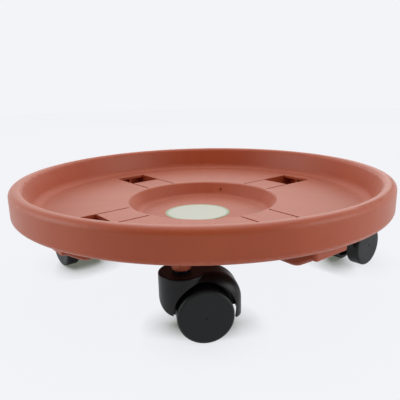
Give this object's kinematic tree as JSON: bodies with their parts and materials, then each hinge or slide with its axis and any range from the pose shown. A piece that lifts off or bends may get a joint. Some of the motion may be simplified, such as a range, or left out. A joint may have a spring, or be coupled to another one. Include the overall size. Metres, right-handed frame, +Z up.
{
  "type": "plant caddy",
  "caption": "Round terracotta-coloured plastic plant caddy: a rimmed tray with a sunken middle and spring fingers, on hooded twin-wheel swivel casters.",
  "frame": {"origin": "on the ground, straight under the centre of the tray", "axes": "+Z up out of the tray; the casters stand on the X and Y axes and the spring fingers lie on the diagonals between them"},
  "size_m": [0.35, 0.35, 0.091],
  "materials": {
    "terracotta_plastic": "injection-moulded polypropylene, satin, terracotta colour all through",
    "label_paper": "off-white sticker with a pale green edge, bare",
    "black_nylon": "moulded black nylon, satin",
    "wheel_nylon": "moulded black nylon wheel, slightly duller than the hood",
    "steel": "zinc-plated steel"
  },
  "bodies": {
    "tray_body": {"tray": "terracotta_plastic", "round_label": "label_paper", "front_caster_grip_ring": "steel", "right_caster_grip_ring": "steel", "back_caster_grip_ring": "steel", "left_caster_grip_ring": "steel"},
    "front_caster_swivel": {"front_caster_hood": "black_nylon", "front_caster_stem": "steel", "front_caster_axle": "steel"},
    "front_caster_left_roller": {"front_caster_wheel_left": "wheel_nylon"},
    "front_caster_right_roller": {"front_caster_wheel_right": "wheel_nylon"},
    "right_caster_swivel": {"right_caster_hood": "black_nylon", "right_caster_stem": "steel", "right_caster_axle": "steel"},
    "right_caster_left_roller": {"right_caster_wheel_left": "wheel_nylon"},
    "right_caster_right_roller": {"right_caster_wheel_right": "wheel_nylon"},
    "back_caster_swivel": {"back_caster_hood": "black_nylon", "back_caster_stem": "steel", "back_caster_axle": "steel"},
    "back_caster_left_roller": {"back_caster_wheel_left": "wheel_nylon"},
    "back_caster_right_roller": {"back_caster_wheel_right": "wheel_nylon"},
    "left_caster_swivel": {"left_caster_hood": "black_nylon", "left_caster_stem": "steel", "left_caster_axle": "steel"},
    "left_caster_left_roller": {"left_caster_wheel_left": "wheel_nylon"},
    "left_caster_right_roller": {"left_caster_wheel_right": "wheel_nylon"}
  },
  "joints": [
    {"name": "front_caster_swivels", "type": "hinge", "parent": "tray_body", "child": "front_caster_swivel", "pos_m": [0, -0.138, 0.05], "axis": [0, 0, 1], "continuous": true},
    {"name": "front_caster_left_wheel_spins", "type": "hinge", "parent": "front_caster_swivel", "child": "front_caster_left_roller", "pos_m": [0.01372, -0.13432, 0.02], "axis": [-0.2588, 0.9659, 0], "continuous": true},
    {"name": "front_caster_right_wheel_spins", "type": "hinge", "parent": "front_caster_swivel", "child": "front_caster_right_roller", "pos_m": [0.01372, -0.13432, 0.02], "axis": [-0.2588, 0.9659, 0], "continuous": true},
    {"name": "right_caster_swivels", "type": "hinge", "parent": "tray_body", "child": "right_caster_swivel", "pos_m": [0.138, 0, 0.05], "axis": [0, 0, 1], "continuous": true},
    {"name": "right_caster_left_wheel_spins", "type": "hinge", "parent": "right_caster_swivel", "child": "right_caster_left_roller", "pos_m": [0.1475, 0.01055, 0.02], "axis": [-0.7431, 0.6691, 0], "continuous": true},
    {"name": "right_caster_right_wheel_spins", "type": "hinge", "parent": "right_caster_swivel", "child": "right_caster_right_roller", "pos_m": [0.1475, 0.01055, 0.02], "axis": [-0.7431, 0.6691, 0], "continuous": true},
    {"name": "back_caster_swivels", "type": "hinge", "parent": "tray_body", "child": "back_caster_swivel", "pos_m": [0, 0.138, 0.05], "axis": [0, 0, 1], "continuous": true},
    {"name": "back_caster_left_wheel_spins", "type": "hinge", "parent": "back_caster_swivel", "child": "back_caster_left_roller", "pos_m": [-0.01317, 0.14332, 0.02], "axis": [-0.3746, -0.9272, 0], "continuous": true},
    {"name": "back_caster_right_wheel_spins", "type": "hinge", "parent": "back_caster_swivel", "child": "back_caster_right_roller", "pos_m": [-0.01317, 0.14332, 0.02], "axis": [-0.3746, -0.9272, 0], "continuous": true},
    {"name": "left_caster_swivels", "type": "hinge", "parent": "tray_body", "child": "left_caster_swivel", "pos_m": [-0.138, 0, 0.05], "axis": [0, 0, 1], "continuous": true},
    {"name": "left_caster_left_wheel_spins", "type": "hinge", "parent": "left_caster_swivel", "child": "left_caster_left_roller", "pos_m": [-0.12814, -0.01022, 0.02], "axis": [0.7193, 0.6947, 0], "continuous": true},
    {"name": "left_caster_right_wheel_spins", "type": "hinge", "parent": "left_caster_swivel", "child": "left_caster_right_roller", "pos_m": [-0.12814, -0.01022, 0.02], "axis": [0.7193, 0.6947, 0], "continuous": true}
  ]
}
